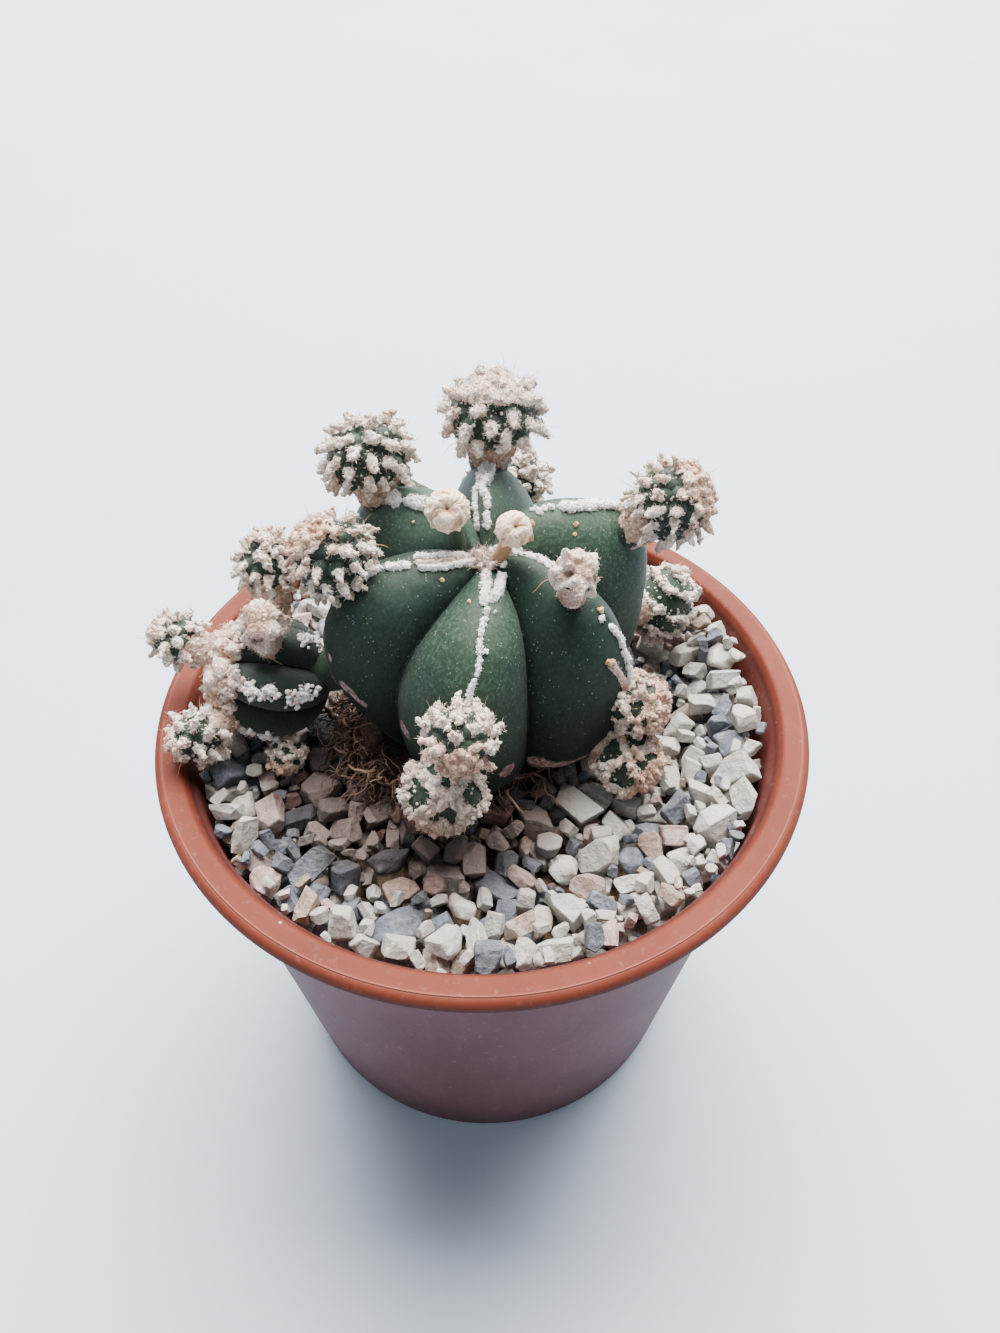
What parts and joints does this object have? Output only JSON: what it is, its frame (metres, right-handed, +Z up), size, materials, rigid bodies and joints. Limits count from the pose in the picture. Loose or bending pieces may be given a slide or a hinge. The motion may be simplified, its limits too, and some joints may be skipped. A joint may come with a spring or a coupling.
{
  "type": "potted round cactus",
  "caption": "Round six-ribbed cactus with woolly rib lines and clustered offsets, in crushed stone in a tapered round plastic pot.",
  "frame": {"origin": "centre of the flat underside of the pot, on the surface that it stands on", "axes": "+Z up along the axis of the pot; -Y towards the front, where the picture was taken from; +X to the right of that view"},
  "size_m": [0.09, 0.09, 0.1092],
  "materials": {
    "pot_plastic": "satin",
    "compost": "matte",
    "pale_stone": "matte",
    "blue_stone": "matte",
    "dry_root": "matte",
    "cactus_skin": "satin",
    "crest_wool": "matte",
    "offset_wool": "matte",
    "dried_flower": "matte"
  },
  "bodies": {
    "root": {"pot": "pot_plastic", "soil": "compost", "gravel_bed": "pale_stone", "stone_chip_01": "blue_stone", "stone_chip_02": "pale_stone", "stone_chip_03": "pale_stone", "stone_chip_04": "blue_stone", "stone_chip_05": "pale_stone", "stone_chip_06": "pale_stone", "stone_chip_07": "blue_stone", "stone_chip_08": "pale_stone", "stone_chip_09": "pale_stone", "stone_chip_10": "blue_stone", "stone_chip_11": "pale_stone", "stone_chip_12": "pale_stone", "stone_chip_13": "blue_stone", "stone_chip_14": "pale_stone", "stone_chip_15": "pale_stone", "stone_chip_16": "blue_stone", "stone_chip_17": "pale_stone", "stone_chip_18": "pale_stone", "root_crown": "dry_root", "stem": "cactus_skin", "branch_stem": "cactus_skin", "stub_northwest": "cactus_skin", "wool_line_northeast": "crest_wool", "wool_line_north": "crest_wool", "wool_line_northwest": "crest_wool", "wool_line_west": "crest_wool", "wool_line_south": "crest_wool", "wool_line_southeast": "crest_wool", "apex_wool": "crest_wool", "dried_bud_left": "dried_flower", "dried_bud_right": "dried_flower", "offset_north": "offset_wool", "offset_northwest": "offset_wool", "offset_west": "offset_wool", "offset_northeast": "offset_wool", "offset_southeast_crest": "offset_wool", "offset_south_upper": "offset_wool", "offset_south_lower": "offset_wool", "offset_southeast_upper": "offset_wool", "offset_southeast_lower": "offset_wool", "offset_east": "offset_wool", "offset_north_behind": "offset_wool", "branch_offset_upper": "offset_wool", "branch_offset_crest": "offset_wool", "branch_offset_tip": "offset_wool", "branch_offset_lower": "offset_wool", "branch_offset_foot": "offset_wool"}
  },
  "joints": []
}
